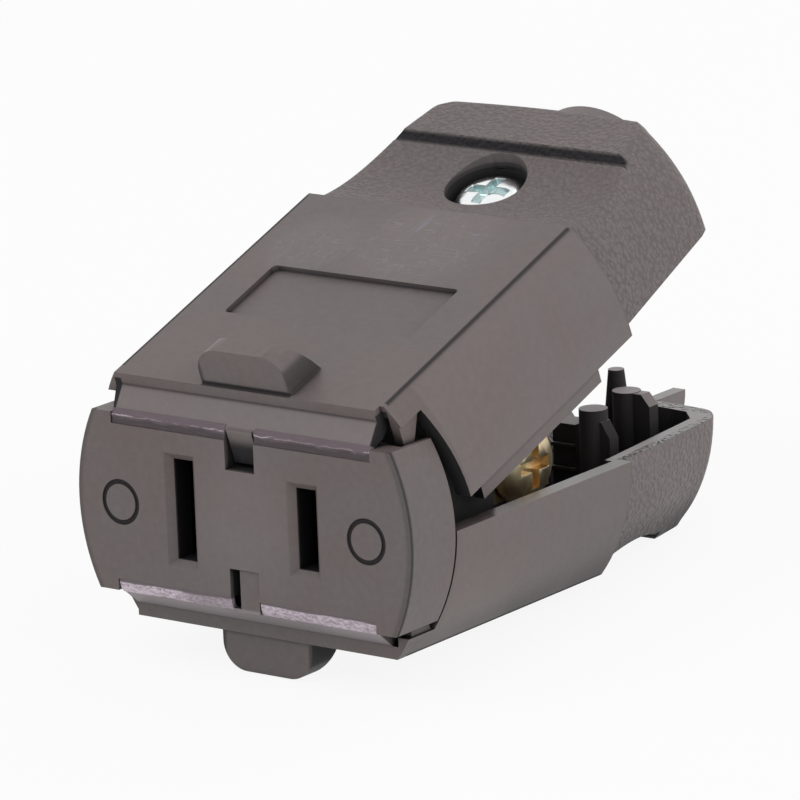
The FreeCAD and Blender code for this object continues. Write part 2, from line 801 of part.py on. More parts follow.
def open_upper(doc, body, inner=None):
    # swings a piece of the upper cover open about the hinge line
    centre = Vector(0, number(doc, "hinge_depth"), number(doc, "hinge_height"))
    swing = Placement(Vector(), Rotation(Vector(1, 0, 0), number(doc, "open_angle")), centre)
    body.Placement = swing.multiply(inner or Placement())


def build(doc):
    make_sheet(doc)
    half_turn = Placement(Vector(), Rotation(Vector(0, 1, 0), 180))
    nodes = [face_block(doc)]
    upper = upper_cover(doc)
    open_upper(doc, upper)
    nodes.append(upper)
    nodes.append(lower_cover(doc))
    for word, side in (("left", -1), ("right", 1)):
        nodes.append(hinge_strip(doc, "upper_hinge_" + word, side, True))
        lower = hinge_strip(doc, "lower_hinge_" + word, -side, False)
        lower.Placement = half_turn
        nodes.append(lower)
    nodes.append(contact(doc, "hot_contact"))
    neutral = contact(doc, "neutral_contact")
    neutral.Placement = half_turn
    nodes.append(neutral)
    tail = "slot_spacing / 2 + contact_gap / 2 + tail_offset / 2"
    under_head = number(doc, f"{tail} + contact_thickness + terminal_gap")
    seat = Vector(under_head, number(doc, "terminal_place"), 0)
    hot = cross_screw(doc, "hot_terminal_screw", "terminal")
    hot.Placement = Placement(seat, Rotation(Vector(0, 1, 0), 90))
    nodes.append(hot)
    plated = cross_screw(doc, "neutral_terminal_screw", "terminal")
    plated.Placement = half_turn.multiply(hot.Placement)
    nodes.append(plated)
    clamp = cross_screw(doc, "clamp_screw", "clamp")
    lift = Vector(0, number(doc, "clamp_place"), number(doc, "clamp_head_top - clamp_head_height"))
    open_upper(doc, clamp, Placement(lift, Rotation()))
    nodes.append(clamp)
    return nodes


def check(doc, nodes):
    doc.recompute()
    for item in doc.Objects:
        if "Invalid" in item.State or "Error" in item.State:
            raise RuntimeError(f"{item.Name}: {item.State}")
    for node in nodes:
        if node.Shape.isNull() or not node.Shape.isValid():
            raise RuntimeError(f"{node.Name} has no valid shape")


doc = FreeCAD.newDocument("cord_connector")
nodes = build(doc)
check(doc, nodes)
os.makedirs("parts", exist_ok=True)
for node in nodes:
    node.Shape.exportStep(f"parts/{node.Name}.step")
    box = node.Shape.BoundBox
    print(node.Name, len(node.Shape.Solids), round(node.Shape.Volume, 1),
          [round(value, 2) for value in (box.XMin, box.XMax, box.YMin, box.YMax, box.ZMin, box.ZMax)])
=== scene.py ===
import bpy
import json
import math
from mathutils import Matrix, Vector, noise as ripple

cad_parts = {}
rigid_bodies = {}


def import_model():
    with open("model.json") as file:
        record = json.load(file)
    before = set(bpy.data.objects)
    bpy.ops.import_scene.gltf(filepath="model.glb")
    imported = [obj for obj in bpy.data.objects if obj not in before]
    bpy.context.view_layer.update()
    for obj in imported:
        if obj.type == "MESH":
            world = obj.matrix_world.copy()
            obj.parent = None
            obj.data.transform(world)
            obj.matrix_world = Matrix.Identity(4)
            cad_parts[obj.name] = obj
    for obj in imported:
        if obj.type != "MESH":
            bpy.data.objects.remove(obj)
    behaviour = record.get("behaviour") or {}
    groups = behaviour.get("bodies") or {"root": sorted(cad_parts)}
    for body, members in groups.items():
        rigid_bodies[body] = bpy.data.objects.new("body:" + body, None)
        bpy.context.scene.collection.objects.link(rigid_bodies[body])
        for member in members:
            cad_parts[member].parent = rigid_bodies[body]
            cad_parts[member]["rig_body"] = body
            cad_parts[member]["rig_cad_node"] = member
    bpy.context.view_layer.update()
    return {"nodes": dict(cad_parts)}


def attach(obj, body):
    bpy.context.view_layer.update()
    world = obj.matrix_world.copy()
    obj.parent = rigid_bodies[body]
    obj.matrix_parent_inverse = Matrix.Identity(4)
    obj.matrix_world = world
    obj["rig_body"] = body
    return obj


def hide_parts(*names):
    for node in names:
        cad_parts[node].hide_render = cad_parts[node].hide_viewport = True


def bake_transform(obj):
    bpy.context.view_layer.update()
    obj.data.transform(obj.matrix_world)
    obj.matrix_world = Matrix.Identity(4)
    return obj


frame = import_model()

mm = 0.001
scene = bpy.context.scene
scene.view_settings.view_transform = "Standard"

# where things are on the shut connector, in millimetres and degrees
layout = {
    "smoothEnd": 31.2,
    "gripRadius": 16.45,
    "gripTaper": 0.093,
    "gripCorner": 46.9,
    "rearCorner": 48.7,
    "roofInside": 8.6,
    "rearInside": 47.6,
    "collarStart": 49.6,
    "wall": 1.5,
    "rimHeight": 0.12,
    "clampY": 38.05,
    "recessRadius": 3.72,
    "grainSoft": 0.02,
    "hingeY": 0.7,
    "hingeZ": 7.2,
    "openAngle": 19.6,
}


def onlySelect(obj):
    if bpy.context.mode != "OBJECT":
        bpy.ops.object.mode_set(mode="OBJECT")
    bpy.ops.object.select_all(action="DESELECT")
    obj.hide_set(False)
    obj.select_set(True)
    bpy.context.view_layer.objects.active = obj


def applyModifier(obj, kind, settings):
    onlySelect(obj)
    modifier = obj.modifiers.new(kind.lower(), kind)
    for word, value in settings.items():
        setattr(modifier, word, value)
    bpy.ops.object.modifier_apply(modifier=modifier.name)


def shutTurn(angle):
    # brings a cover that stands open by this angle back to its shut place
    hinge = Vector((0, layout["hingeY"] * mm, layout["hingeZ"] * mm))
    turn = Matrix.Rotation(math.radians(-angle), 4, "X")
    return Matrix.Translation(hinge) @ turn @ Matrix.Translation(-hinge)


# node helpers

def plug(tree, value, socket):
    if isinstance(value, bpy.types.NodeSocket):
        tree.links.new(value, socket)
    else:
        socket.default_value = value


def addNode(tree, kind, settings=None, **sockets):
    node = tree.nodes.new(kind)
    for word, value in (settings or {}).items():
        setattr(node, word, value)
    for word, value in sockets.items():
        plug(tree, value, node.inputs[word])
    return node


def coordinates(tree):
    return addNode(tree, "ShaderNodeTexCoord").outputs


def axes(tree, vector):
    return addNode(tree, "ShaderNodeSeparateXYZ", Vector=vector).outputs


def maths(tree, operation, first, second=0.5, clamp=False):
    node = addNode(tree, "ShaderNodeMath", {"operation": operation, "use_clamp": clamp})
    plug(tree, first, node.inputs[0])
    plug(tree, second, node.inputs[1])
    return node.outputs[0]


def times(tree, first, second):
    return maths(tree, "MULTIPLY", first, second)


def larger(tree, first, second):
    return maths(tree, "MAXIMUM", first, second)


def hypot(tree, first, second):
    squares = [maths(tree, "POWER", value, 2.0) for value in (first, second)]
    return maths(tree, "SQRT", maths(tree, "ADD", *squares))


def fade(tree, value, low, high, toLow=0.0, toHigh=1.0):
    # a soft step from toLow to toHigh while the value goes from low to high
    settings = {"interpolation_type": "SMOOTHSTEP"}
    node = addNode(tree, "ShaderNodeMapRange", settings, Value=value)
    words = ("From Min", "From Max", "To Min", "To Max")
    for word, number in zip(words, (low, high, toLow, toHigh)):
        plug(tree, number, node.inputs[word])
    return node.outputs["Result"]


def band(tree, value, low, high, soft):
    # 1 between low and high, with soft ends
    rise = fade(tree, value, low - soft, low + soft)
    return times(tree, rise, fade(tree, value, high - soft, high + soft, 1.0, 0.0))


def mixColour(tree, factor, first, second, blend="MIX"):
    # a mix of colours has its factor and its two ends in sockets 0, 6 and 7
    node = addNode(tree, "ShaderNodeMix", {"data_type": "RGBA", "blend_type": blend})
    for index, value in ((0, factor), (6, first), (7, second)):
        plug(tree, value, node.inputs[index])
    return node.outputs[2]


def noise(tree, place, scale, detail=3.0, roughness=0.55, distortion=0.0):
    node = addNode(tree, "ShaderNodeTexNoise", Vector=place, Scale=scale, Detail=detail,
                   Roughness=roughness, Distortion=distortion)
    return node.outputs["Fac"]


def stretched(tree, place, scale, rotation=(0, 0, 0)):
    node = addNode(tree, "ShaderNodeMapping", Vector=place, Scale=scale, Rotation=rotation)
    return node.outputs[0]


def streaks(tree, place, stretch, detail=3.0, roughness=0.55):
    return noise(tree, stretched(tree, place, stretch), 1.0, detail, roughness)


def strayed(tree, value, wave, reach):
    # the value, shifted to and fro by a wave
    shift = times(tree, maths(tree, "SUBTRACT", wave, 0.5), reach * mm)
    return maths(tree, "ADD", value, shift)


def shelter(tree, reach):
    # how much of the open air a point sees within reach, 1 where nothing is near
    node = addNode(tree, "ShaderNodeAmbientOcclusion", {"samples": 8}, Distance=reach * mm)
    return node.outputs["AO"]


def bumped(tree, height, depth, strength, **under):
    node = addNode(tree, "ShaderNodeBump", Height=height, Distance=depth, Strength=strength,
                   **under)
    return node.outputs[0]


def newMaterial(name):
    material = bpy.data.materials.new(name)
    material.use_nodes = True
    tree = material.node_tree
    tree.nodes.clear()
    output = tree.nodes.new("ShaderNodeOutputMaterial")
    shader = tree.nodes.new("ShaderNodeBsdfPrincipled")
    tree.links.new(shader.outputs[0], output.inputs[0])
    return material, tree, shader


def newGroup(name, inputs, outputs):
    tree = bpy.data.node_groups.new(name, "ShaderNodeTree")
    for way, sockets in (("INPUT", inputs), ("OUTPUT", outputs)):
        for word, kind in sockets:
            tree.interface.new_socket(word, in_out=way, socket_type="NodeSocket" + kind)
    start = tree.nodes.new("NodeGroupInput")
    end = tree.nodes.new("NodeGroupOutput")
    return tree, start.outputs, end.inputs


def placeGroup(tree, group, **sockets):
    node = addNode(tree, "ShaderNodeGroup", {"node_tree": group}, **sockets)
    return node.outputs


# shared effects; a value ending in From holds where a fade starts and ends, and what it gives there
# if that isn't 0 and 1

hairlines = {
    "runs": [
        {"stretch": (900, 120, 500), "turn": 0.6},
        {"stretch": (160, 800, 400), "turn": 0.6 * 160 / 900},
    ],
    "detail": 2.0,
    "roughness": 0.5,
    "bend": 0.6,
    "width": 0.012,
}
pebbles = {
    "warpScale": 900.0,
    "warp": (0.0003, 0.0003, 0.0003),
    "smoothness": 0.25,
    "domes": (0.15, 0.75),
    "pits": (0.50, 0.78),
}
hollows = {"crease": (0.30, 0.86), "inside": (0.12, 0.58)}


def makeScuffGroup():
    # hair scratches: thin contour lines of a stretched noise, kept where a soft patch allows
    inputs = [("Place", "Vector"), ("Patch", "Float")]
    tree, given, result = newGroup("scuffs", inputs, [("Mask", "Float")])
    lines = 0.0
    for run in hairlines["runs"]:
        place = stretched(tree, given["Place"], run["stretch"], (0, 0, run["turn"]))
        wave = noise(tree, place, 1.0, hairlines["detail"], hairlines["roughness"],
                     hairlines["bend"])
        off = maths(tree, "ABSOLUTE", maths(tree, "SUBTRACT", wave, 0.5))
        lines = larger(tree, lines, fade(tree, off, 0.0, hairlines["width"], 1.0, 0.0))
    plug(tree, maths(tree, "MULTIPLY", lines, given["Patch"], clamp=True), result["Mask"])
    return tree


def makeGrainGroup():
    # moulded leather grain: small round pebbles with dark pits where they meet
    inputs = [("Place", "Vector"), ("Cell", "Float")]
    outputs = [("Height", "Float"), ("Pits", "Float")]
    tree, given, result = newGroup("leatherGrain", inputs, outputs)
    warp = addNode(tree, "ShaderNodeTexNoise", Vector=given["Place"], Scale=pebbles["warpScale"])
    shift = addNode(tree, "ShaderNodeVectorMath", {"operation": "MULTIPLY_ADD"})
    values = (warp.outputs["Color"], pebbles["warp"], given["Place"])
    for index, value in enumerate(values):
        plug(tree, value, shift.inputs[index])
    cells = addNode(tree, "ShaderNodeTexVoronoi", {"feature": "SMOOTH_F1"}, Vector=shift.outputs[0],
                    Scale=given["Cell"], Smoothness=pebbles["smoothness"])
    away = cells.outputs["Distance"]
    plug(tree, fade(tree, away, *pebbles["domes"], 1.0, 0.0), result["Height"])
    plug(tree, fade(tree, away, *pebbles["pits"]), result["Pits"])
    return tree


def makeCavityGroup():
    # painted shade: creases are darkened, and what lies deep inside the shell is painted nearly
    # black
    inputs = [("Colour", "Color"), ("Crease", "Float"), ("Inside", "Float"), ("Dirt", "Color"),
              ("Deep", "Color")]
    tree, given, result = newGroup("cavity", inputs, [("Colour", "Color")])
    dirty = mixColour(tree, 1.0, given["Colour"], given["Dirt"], "MULTIPLY")
    clean = fade(tree, given["Crease"], *hollows["crease"])
    colour = mixColour(tree, clean, dirty, given["Colour"])
    airy = fade(tree, given["Inside"], *hollows["inside"])
    plug(tree, mixColour(tree, airy, given["Deep"], colour), result["Colour"])
    return tree


scuffs = makeScuffGroup()
grain = makeGrainGroup()
cavity = makeCavityGroup()

plastic = {
    "brown": (0.150, 0.120, 0.113, 1),
    "cool": (0.157, 0.134, 0.135, 1),
    "coolFrom": (0.35, 0.65),
    # painted shade: the colour far inside the shell
    "deep": (0.008, 0.008, 0.009, 1),
    # painted shade: the darkening multiplied into creases
    "dirt": (0.26, 0.25, 0.27, 1),
    "pit": (0.080, 0.066, 0.063, 1),
    "pitShare": 0.75,
    # painted shade: the near-black colour of the dark lines and slots
    "line": (0.016, 0.015, 0.018, 1),
    # painted light: the lighter colour mixed in where light falls more, and on scuffed patches
    "lifted": (0.42, 0.370, 0.382, 1),
    "scratch": (0.25, 0.25, 0.29, 1),
    "scratchShare": 0.45,
    "dust": (0.30, 0.28, 0.27, 1),
    "dustShare": 0.35,
    "dustFrom": (0.775, 0.80),
    "mottle": ((0.36, 0.36, 0.36, 1), (0.64, 0.64, 0.64, 1)),
    "mottleShare": 0.6,
    "broadScale": 90.0,
    "mottleScale": 1400.0,
    "dustScale": 2300.0,
    "patchCore": 0.4,
    "patchLift": 0.10,
    "roughness": (0.3, 0.7, 0.40, 0.54),
    "gripRoughness": 0.12,
    "rimRoughness": 0.22,
    "rimLevel": 0.9,
    "lineFrom": (0.2, 0.9),
    "lineRoughness": 0.92,
    "shine": 0.42,
    "grainCell": 2100.0,
    "grainDepth": 0.00020,
    "grainStrength": 0.9,
    "skinDepth": 0.00002,
    "skinStrength": 0.6,
    "creaseReach": 1.1,
    "insideReach": 13.0,
}


def plasticLook(tree, shader, place, grip=0.0, patch=0.0, lines=0.0, lift=0.0, rim=0.0, slots=0.0):
    broad = noise(tree, place, plastic["broadScale"], detail=2.0)
    cool = fade(tree, broad, *plastic["coolFrom"])
    colour = mixColour(tree, cool, plastic["brown"], plastic["cool"])
    mottle = noise(tree, place, plastic["mottleScale"], detail=4.0, roughness=0.6)
    shades = mixColour(tree, mottle, *plastic["mottle"])
    colour = mixColour(tree, plastic["mottleShare"], colour, shades, "OVERLAY")
    leather = placeGroup(tree, grain, Place=place, Cell=plastic["grainCell"])
    pits = times(tree, times(tree, leather["Pits"], grip), plastic["pitShare"])
    colour = mixColour(tree, pits, colour, plastic["pit"])
    # painted light, and lighter scuffed patches
    colour = mixColour(tree, lift, colour, plastic["lifted"])
    marks = placeGroup(tree, scuffs, Place=place, Patch=patch)["Mask"]
    scratches = times(tree, marks, plastic["scratchShare"])
    colour = mixColour(tree, scratches, colour, plastic["scratch"])
    specks = noise(tree, place, plastic["dustScale"], detail=1.0)
    specks = fade(tree, specks, *plastic["dustFrom"])
    colour = mixColour(tree, times(tree, specks, plastic["dustShare"]), colour, plastic["dust"])
    # painted shade: dark lines and slots
    colour = mixColour(tree, larger(tree, lines, slots), colour, plastic["line"])
    # painted shade in creases and deep inside, from how much open air each point sees
    crease, inside = (shelter(tree, plastic[word]) for word in ("creaseReach", "insideReach"))
    colour = placeGroup(tree, cavity, Colour=colour, Crease=crease, Inside=inside,
                        Dirt=plastic["dirt"], Deep=plastic["deep"])["Colour"]
    plug(tree, colour, shader.inputs["Base Color"])
    rough = fade(tree, broad, *plastic["roughness"])
    rough = maths(tree, "ADD", rough, times(tree, grip, plastic["gripRoughness"]))
    rough = fade(tree, rim, 0.0, 1.0, rough, plastic["rimRoughness"])
    rough = fade(tree, lines, *plastic["lineFrom"], rough, plastic["lineRoughness"])
    plug(tree, rough, shader.inputs["Roughness"])
    shader.inputs["Specular IOR Level"].default_value = plastic["shine"]
    skin = bumped(tree, mottle, plastic["skinDepth"], plastic["skinStrength"])
    height = times(tree, leather["Height"], grip)
    bump = bumped(tree, height, plastic["grainDepth"], plastic["grainStrength"], Normal=skin)
    plug(tree, bump, shader.inputs["Normal"])


def boxes(tree, spans, marks):
    # the strongest of some soft boxes, each given by its spans in millimetres
    mask = 0.0
    for mark in marks:
        one = mark["strength"]
        soft = mark["soft"] * mm
        for word, value in spans.items():
            if word in mark:
                low, high = mark[word]
                one = times(tree, one, band(tree, value, low * mm, high * mm, soft))
        mask = larger(tree, mask, one)
    return mask


def coverMaterial(name, made):
    material, tree, shader = newMaterial(name)
    shut = shutTurn(made["angle"])
    given = coordinates(tree)
    mapping = addNode(tree, "ShaderNodeMapping", Vector=given["Object"], Rotation=shut.to_euler(),
                      Location=shut.to_translation())
    place = mapping.outputs[0]  # as if the cover were shut
    x, y, z = axes(tree, place)
    wide, tall = maths(tree, "ABSOLUTE", x), maths(tree, "ABSOLUTE", z)
    radius = hypot(tree, wide, tall)
    hole = hypot(tree, wide, maths(tree, "SUBTRACT", y, layout["clampY"] * mm))
    behind = larger(tree, maths(tree, "SUBTRACT", y, layout["smoothEnd"] * mm), 0.0)
    midWall = (layout["gripRadius"] - layout["wall"] / 2) * mm
    skinRadius = maths(tree, "SUBTRACT", midWall, times(tree, behind, layout["gripTaper"]))
    outer = maths(tree, "GREATER_THAN", radius, skinRadius)
    for value, level in ((tall, layout["roofInside"]), (y, layout["rearInside"])):
        outer = larger(tree, outer, maths(tree, "GREATER_THAN", value, level * mm))
    start, end, soft = (layout[word] * mm for word in ("smoothEnd", "collarStart", "grainSoft"))
    grip = times(tree, band(tree, y, start, end, soft), outer)
    grip = times(tree, grip, maths(tree, "GREATER_THAN", hole, layout["recessRadius"] * mm))
    patch = 0.0
    for centre, reach in made["patches"]:
        away = addNode(tree, "ShaderNodeVectorMath", {"operation": "DISTANCE"})
        plug(tree, place, away.inputs[0])
        plug(tree, [value * mm for value in centre], away.inputs[1])
        core = reach * plastic["patchCore"] * mm
        patch = larger(tree, patch, fade(tree, away.outputs["Value"], core, reach * mm, 1.0, 0.0))
    # ahead and level say where a face points, as parts of a millimetre, so that boxes can hold them
    facing = axes(tree, given["Normal"])
    spans = {"wide": wide, "along": y, "tall": tall, "hole": hole,
             "hollow": maths(tree, "SUBTRACT", skinRadius, radius),
             "ahead": times(tree, facing[1], -mm),
             "level": times(tree, maths(tree, "ABSOLUTE", facing[2]), mm)}
    lines = boxes(tree, spans, made["lines"])
    lift = boxes(tree, spans, made["lifts"])
    # scuffed patches are lighter too
    lift = larger(tree, lift, times(tree, patch, plastic["patchLift"]))
    rim = times(tree, maths(tree, "LESS_THAN", tall, layout["rimHeight"] * mm),
                maths(tree, "GREATER_THAN", spans["level"], plastic["rimLevel"] * mm))
    plasticLook(tree, shader, place, grip, patch, lines, lift, rim)
    return material


faceBlock = {
    "name": "faceBlock", "body": "face", "slot": "housing", "edge": 0.14,
    "ringPlace": 12.75,
    "scuffed": 0.12,
    # painted shade inside the slots
    "slots": [
        {"wide": (-1, 9.0), "deep": (0.75, 9.0), "tall": (-1, 5.0), "soft": 0.15, "strength": 0.96},
    ],
    # painted shade lines: in the rings, at the band's rim, behind the band and in the hinge notches
    "lines": [
        # plain rings
        {"ring": (1.54, 1.96), "deep": (0.02, 0.5), "soft": 0.06, "strength": 0.85},
        # rim of the band
        {"radius": (16.8, 17.5), "deep": (0.02, 0.42), "soft": 0.18, "strength": 0.8},
        # behind the band
        {"deep": (6.7, 60.0), "soft": 0.2, "strength": 0.85},
        # hinge notches
        {"wide": (-1, 1.62), "deep": (0.45, 9.0), "tall": (4.0, 9.0),
         "soft": 0.18, "strength": 0.95},
    ],
    # painted highlight: the middle of the face lighter
    "lifts": [
        {"radius": (-1, 5.0), "deep": (-1, 0.2), "soft": 4.0, "strength": 0.34},
    ],
}


def faceMaterial(made):
    material, tree, shader = newMaterial("facePlastic")
    place = coordinates(tree)["Object"]
    x, y, z = axes(tree, place)
    wide = maths(tree, "ABSOLUTE", x)
    fromRing = maths(tree, "SUBTRACT", wide, made["ringPlace"] * mm)
    spans = {"wide": wide, "deep": y, "tall": maths(tree, "ABSOLUTE", z),
             "radius": hypot(tree, wide, z), "ring": hypot(tree, fromRing, z)}
    lines, lift, slots = (boxes(tree, spans, made[word]) for word in ("lines", "lifts", "slots"))
    plasticLook(tree, shader, place, patch=made["scuffed"], lines=lines, lift=lift, slots=slots)
    return material


# softened copies of the CAD pieces

softening = {"merge": 0.000002, "flat": 0.4, "segments": 2, "sharp": 32, "smooth": 38}
rounding = {"reach": 10.2, "width": 0.8, "segments": 4, "near": 0.02}


def mergedCopy(node, name):
    onlySelect(frame["nodes"][node])
    bpy.ops.object.duplicate()
    copy = bpy.context.view_layer.objects.active
    bpy.ops.object.parent_clear(type="CLEAR_KEEP_TRANSFORM")
    copy.name = name
    copy.data.name = name
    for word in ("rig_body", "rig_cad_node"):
        del copy[word]
    onlySelect(copy)
    bpy.ops.object.mode_set(mode="EDIT")
    bpy.ops.mesh.select_all(action="SELECT")
    bpy.ops.mesh.remove_doubles(threshold=softening["merge"])
    bpy.ops.mesh.dissolve_limited(angle_limit=math.radians(softening["flat"]))
    bpy.ops.mesh.customdata_custom_splitnormals_clear()
    bpy.ops.object.mode_set(mode="OBJECT")
    return copy


def softenEdges(copy, width):
    settings = {"width": width * mm, "segments": softening["segments"], "limit_method": "ANGLE",
                "angle_limit": math.radians(softening["sharp"]), "use_clamp_overlap": True}
    applyModifier(copy, "BEVEL", settings)
    onlySelect(copy)
    bpy.ops.object.shade_smooth_by_angle(angle=math.radians(softening["smooth"]))
    applyModifier(copy, "WEIGHTED_NORMAL", {"keep_sharp": True})


def fit(piece, node, made, material):
    piece.data.materials.clear()
    piece.data.materials.append(material)
    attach(piece, made["body"])
    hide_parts(node)
    print("fitted", piece.name, len(piece.data.polygons))


def nudge(piece, shut, moves):
    # small moves of the corners in a box, in the shut place: outwards, to the rear and
    # away from the parting plane
    back = shut.inverted()
    for vertex in piece.data.vertices:
        place = (shut @ vertex.co) / mm
        right, up = math.copysign(1, place.x), math.copysign(1, place.z)
        for move in moves:
            spot = (abs(place.x), place.y, abs(place.z))
            inBox = all(low <= value <= high for value, (low, high) in zip(spot, move["box"]))
            if inBox and move.get("side", right) == right:
                out, rear, away = move["by"]
                place = place + Vector((out * right, rear, away * up))
        vertex.co = back @ (place * mm)


def roundRear(piece, shut):
    # the upright edges at the sides of the rear end get a wider bevel
    weights = piece.data.attributes.new("bevel_weight_edge", "FLOAT", "EDGE")
    spots = [(shut @ vertex.co) / mm for vertex in piece.data.vertices]
    for edge in piece.data.edges:
        ends = [spots[index] for index in edge.vertices]
        aside = all(abs(end.x) > rounding["reach"] for end in ends)
        for corner in (layout["gripCorner"], layout["rearCorner"]):
            if aside and all(abs(end.y - corner) < rounding["near"] for end in ends):
                weights.data[edge.index].value = 1.0
    settings = {"width": rounding["width"] * mm, "segments": rounding["segments"],
                "limit_method": "WEIGHT", "use_clamp_overlap": False}
    applyModifier(piece, "BEVEL", settings)


# painted shade: dark lines and patches where shade falls, on edges, steps, the tab's flank and
# foot, the recess, the inside, the lug, the ear's gap and the end of the wall
creases = {
    "roofEdge": {"wide": (13.48, 13.84), "along": (3.4, 30.9), "tall": (10.12, 10.6),
                 "soft": 0.11, "strength": 0.8},
    "roofFront": {"wide": (-1.0, 13.4), "along": (1.9, 2.5), "tall": (9.24, 9.46),
                  "soft": 0.07, "strength": 0.5},
    "ridgeStep": {"wide": (-1.0, 12.3), "along": (41.8, 42.62), "tall": (9.6, 10.3),
                  "soft": 0.18, "strength": 0.95},
    "tabFlank": {"wide": (4.30, 5.0), "along": (2.4, 7.2), "tall": (10.55, 12.9),
                 "soft": 0.2, "strength": 0.6},
    "tabFoot": {"wide": (-1.0, 4.6), "along": (2.3, 2.75), "tall": (10.36, 10.66),
                "soft": 0.08, "strength": 0.8},
    "recess": {"hole": (-1.0, 3.76), "tall": (-1.0, 8.75), "soft": 0.15, "strength": 0.75},
    "hollow": {"hollow": (0.5, 40.0), "along": (6.7, 47.4), "tall": (-1.0, 8.4),
               "level": (-1.0, 0.6), "soft": 0.08, "strength": 0.86},
    "lug": {"wide": (-1.0, 1.6), "along": (-1.0, 2.0), "tall": (2.0, 6.7),
            "soft": 0.7, "strength": 0.96},
    "earGap": {"wide": (13.15, 13.86), "along": (0.2, 4.2), "tall": (5.0, 9.9),
               "soft": 0.08, "strength": 0.95},
    "wallEnd": {"wide": (9.0, 20.0), "along": (4.4, 6.8), "tall": (-1.0, 9.6),
                "ahead": (0.55, 2.0), "soft": 0.15, "strength": 0.94},
}
# painted light on the lip slope, the flanks and the post tops; the grip is painted lighter too
lifts = {
    "lip": {"wide": (-1, 13.2), "along": (0.2, 2.3), "tall": (7.6, 9.2),
            "soft": 0.15, "strength": 1.0},
    "grip": {"along": (31.4, 54.0), "soft": 0.3, "strength": 0.24},
    "flank": {"wide": (13.95, 20.0), "along": (6.6, 31.0), "soft": 0.15, "strength": 0.04},
    "postTops": {"hollow": (0.5, 40.0), "along": (36.0, 47.4), "tall": (1.0, 5.0),
                 "level": (0.9, 2.0), "soft": 0.08, "strength": 0.8},
}
rearCorners = ((13.2, 15), (47.1, 48.8))
moves = {
    "both": [
        # a step instead of a groove
        {"box": ((12.2, 12.8), (42.0, 42.2), (9.0, 9.2)), "by": (-0.5, 0, 0)},
        {"box": ((0, 20), (42.0, 42.2), (9.0, 9.2)), "by": (0, 0, 0.65)},
        # tongue root flush with the skin
        {"box": ((14.65, 14.75), (2.9, 5.8), (9.2, 9.3)), "by": (-0.1, 0, -0.155)},
    ],
    "upper": [
        # lip reaches the left ear
        {"box": ((13.1, 13.5), (2, 4), (9.2, 9.5)), "by": (0.5, 0, 0), "side": -1},
        # no tooth at the rear corners
        {"box": (*rearCorners, (0, 0.1)), "by": (0, 0, 0.43)},
        {"box": (*rearCorners, (0.15, 0.25)), "by": (0, 0, 0.28)},
        {"box": (*rearCorners, (0.3, 0.4)), "by": (0, 0, 0.13)},
    ],
    "lower": [
        # lug fills its notch
        {"box": ((1.3, 1.4), (0, 2), (4.2, 7.6)), "by": (0.08, 0, 0)},
        {"box": ((0, 2), (0, 2), (4.6, 4.7)), "by": (0, 0, -0.38)},
    ],
}
lowerCreases = ("roofEdge", "ridgeStep", "tabFlank", "recess", "hollow")
covers = {
    "upper_cover": {
        "name": "upperCover", "body": "upper_cover", "slot": "housing", "edge": 0.16,
        "angle": layout["openAngle"],
        "patches": [((2, 26, 10.4), 9), ((-8, 24, 10.4), 6)],
        "lines": list(creases.values()),
        "lifts": [
            {**lifts["lip"], "strength": 0.20},
            {**lifts["grip"], "strength": 0.14},
            {**lifts["flank"], "strength": 0.08},
        ],
        "moves": moves["both"] + moves["upper"],
    },
    "lower_cover": {
        "name": "lowerCover", "body": "lower_cover", "slot": "housing", "edge": 0.16,
        "angle": 0,
        "patches": [],
        "lines": [creases[word] for word in lowerCreases],
        "lifts": list(lifts.values()),
        "moves": moves["both"] + moves["lower"],
    },
}
for node, made in covers.items():
    cover = mergedCopy(node, made["name"])
    shut = shutTurn(made["angle"])
    nudge(cover, shut, made["moves"])
    roundRear(cover, shut)
    softenEdges(cover, made["edge"])
    fit(cover, node, made, coverMaterial(made["name"] + "Plastic", made))

face = mergedCopy("face_block", faceBlock["name"])
softenEdges(face, faceBlock["edge"])
fit(face, "face_block", faceBlock, faceMaterial(faceBlock))


# the four living hinges, crumpled and stress whitened

webs = {
    "columns": 72,
    "rows": 14,
    "inner": 1.52,
    "outer": 13.36,
    "thickness": 0.4,
    "smooth": 50,
    "front": 0.03,
    "crumple": 0.075,
    "folds": [
        {"across": 1.9, "up": 4.5, "seed": 3.7, "share": 0.75},
        {"across": 6.5, "up": 9.0, "seed": 8.1, "share": 0.45},
    ],
}


def alongProfile(points, share):
    spot = share * (len(points) - 1)
    index = min(int(spot), len(points) - 2)
    return Vector(points[index]).lerp(Vector(points[index + 1]), spot - index)


def makeWeb(name, profile, side):
    bpy.ops.object.select_all(action="DESELECT")
    bpy.ops.mesh.primitive_grid_add(x_subdivisions=webs["columns"], y_subdivisions=webs["rows"],
                                    size=1)
    web = bpy.context.active_object
    web.name = name
    web.data.name = name
    for vertex in web.data.vertices:
        run, climb = vertex.co.x + 0.5, vertex.co.y + 0.5
        x = side * (webs["inner"] + run * (webs["outer"] - webs["inner"]))
        y, z = alongProfile(profile, climb)
        waves = 0.0
        for fold in webs["folds"]:
            spot = Vector((x * fold["across"], z * fold["up"], fold["seed"]))
            waves += fold["share"] * ripple.noise(spot)
        loose = math.sin(math.pi * min(max(climb, 0.0), 1.0)) ** 0.5  # both long edges are held
        y += webs["crumple"] * loose * waves
        vertex.co = Vector((x, max(y, webs["front"]), z)) * mm
    onlySelect(web)
    bpy.ops.object.mode_set(mode="EDIT")
    bpy.ops.mesh.select_all(action="SELECT")
    if web.data.polygons[0].normal.y > 0:  # the outer side faces the plug
        bpy.ops.mesh.flip_normals()
    bpy.ops.object.mode_set(mode="OBJECT")
    applyModifier(web, "SOLIDIFY", {"thickness": webs["thickness"] * mm, "offset": -1.0})
    onlySelect(web)
    bpy.ops.object.shade_smooth_by_angle(angle=math.radians(webs["smooth"]))
    return web


